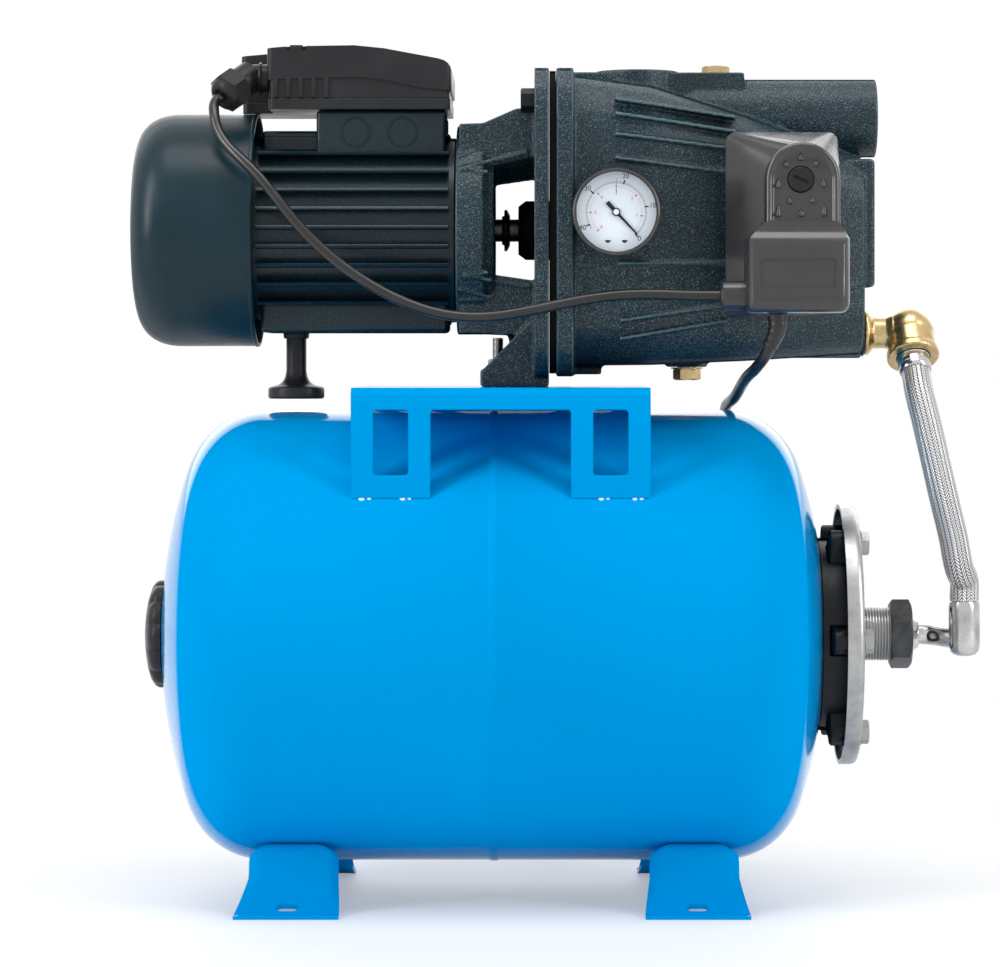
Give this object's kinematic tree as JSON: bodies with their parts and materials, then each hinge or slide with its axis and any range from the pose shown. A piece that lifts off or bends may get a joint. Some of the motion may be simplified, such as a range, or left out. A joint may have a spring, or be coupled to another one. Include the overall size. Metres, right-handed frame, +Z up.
{
  "type": "booster pump set with horizontal pressure tank",
  "caption": "Jet pump with electric motor, pressure switch and gauge, mounted on a horizontal membrane tank and joined to it by a braided hose",
  "frame": {"origin": "on the floor under the middle of the set, cords left out", "axes": "+X along the tank and shaft towards the suction port, -Y the front with gauge and switch, +Z up"},
  "size_m": [0.5256, 0.429, 0.5269],
  "materials": {
    "tank_paint": "gloss blue enamel",
    "neck_paint": "dark enamel",
    "hammered_paint": "hammered dark petrol paint",
    "motor_paint": "hammered dark petrol paint",
    "cover_paint": "satin petrol paint",
    "black_rubber": "matt",
    "black_plastic": "moulded black, fine grain",
    "pale_plastic": "pale, smooth",
    "clear_glass": "clear",
    "zinc_steel": "zinc plated",
    "chromed": "polished",
    "bare_brass": "bare, cast and turned"
  },
  "bodies": {
    "set": {"tank_shell": "tank_paint", "tank_foot_left": "tank_paint", "tank_foot_right": "tank_paint", "pump_cradle": "tank_paint", "neck_flange": "neck_paint", "pump_housing": "hammered_paint", "lantern_bracket": "hammered_paint", "motor_housing": "motor_paint", "rear_end_shield": "motor_paint", "fan_cover": "cover_paint", "tank_membrane": "black_rubber", "elbow_gasket": "black_rubber", "link_cable": "black_rubber", "mains_cord": "black_rubber", "mains_coil": "black_rubber", "mains_plug": "black_rubber", "motor_foot": "black_plastic", "terminal_base": "black_plastic", "terminal_lid": "black_plastic", "cable_gland": "black_plastic", "gauge_case": "black_plastic", "switch_cover": "black_plastic", "seal_plate": "black_plastic", "diffuser": "black_plastic", "ejector_venturi": "black_plastic", "gauge_dial": "pale_plastic", "run_capacitor": "pale_plastic", "gauge_glass": "clear_glass", "counter_flange": "zinc_steel", "tank_bolt_1": "zinc_steel", "tank_bolt_2": "zinc_steel", "tank_bolt_3": "zinc_steel", "tank_bolt_4": "zinc_steel", "tank_bolt_5": "zinc_steel", "tank_bolt_6": "zinc_steel", "union_nut": "zinc_steel", "foot_stud_front": "zinc_steel", "foot_stud_rear": "zinc_steel", "switch_base": "zinc_steel", "braided_hose": "zinc_steel", "hose_nut": "zinc_steel", "hose_sleeve": "zinc_steel", "front_bearing": "zinc_steel", "rear_bearing": "zinc_steel", "stator": "zinc_steel", "hose_tail": "chromed", "brass_elbow": "bare_brass", "air_valve_body": "bare_brass", "ejector_nozzle": "bare_brass"},
    "rotor": {"rotor_shaft": "zinc_steel", "impeller": "bare_brass", "cooling_fan": "black_plastic", "water_flinger": "black_rubber", "shaft_seal": "black_plastic"},
    "needle": {"gauge_needle": "black_plastic"},
    "valve_cap": {"air_valve_cap": "black_plastic"},
    "valve_pin": {"air_valve_pin": "zinc_steel"},
    "filler_plug": {"priming_plug": "bare_brass"},
    "drain": {"drain_plug": "bare_brass"},
    "adjuster": {"switch_adjuster": "black_plastic"}
  },
  "joints": [
    {"name": "shaft_turn", "type": "hinge", "parent": "set", "child": "rotor", "pos_m": [-0.01378, 0, 0.415], "axis": [1, 0, 0], "continuous": true},
    {"name": "needle_turn", "type": "hinge", "parent": "set", "child": "needle", "pos_m": [0.03533, -0.0965, 0.4227], "axis": [0, -1, 0], "range_deg": [0, 270]},
    {"name": "valve_cap_pull", "type": "slide", "parent": "set", "child": "valve_cap", "axis": [-1, 0, 0], "range_m": [0, 0.015]},
    {"name": "valve_pin_press", "type": "slide", "parent": "set", "child": "valve_pin", "axis": [1, 0, 0], "range_m": [0, 0.0015], "stiffness_N_per_m": 300},
    {"name": "filler_plug_lift", "type": "slide", "parent": "set", "child": "filler_plug", "axis": [0, 0, 1], "range_m": [0, 0.012]},
    {"name": "drain_plug_drop", "type": "slide", "parent": "set", "child": "drain", "axis": [0, 0, -1], "range_m": [0, 0.012]},
    {"name": "adjuster_turn", "type": "hinge", "parent": "set", "child": "adjuster", "pos_m": [0.14422, -0.118, 0.441], "axis": [0, -1, 0], "range_deg": [0, 90]}
  ]
}
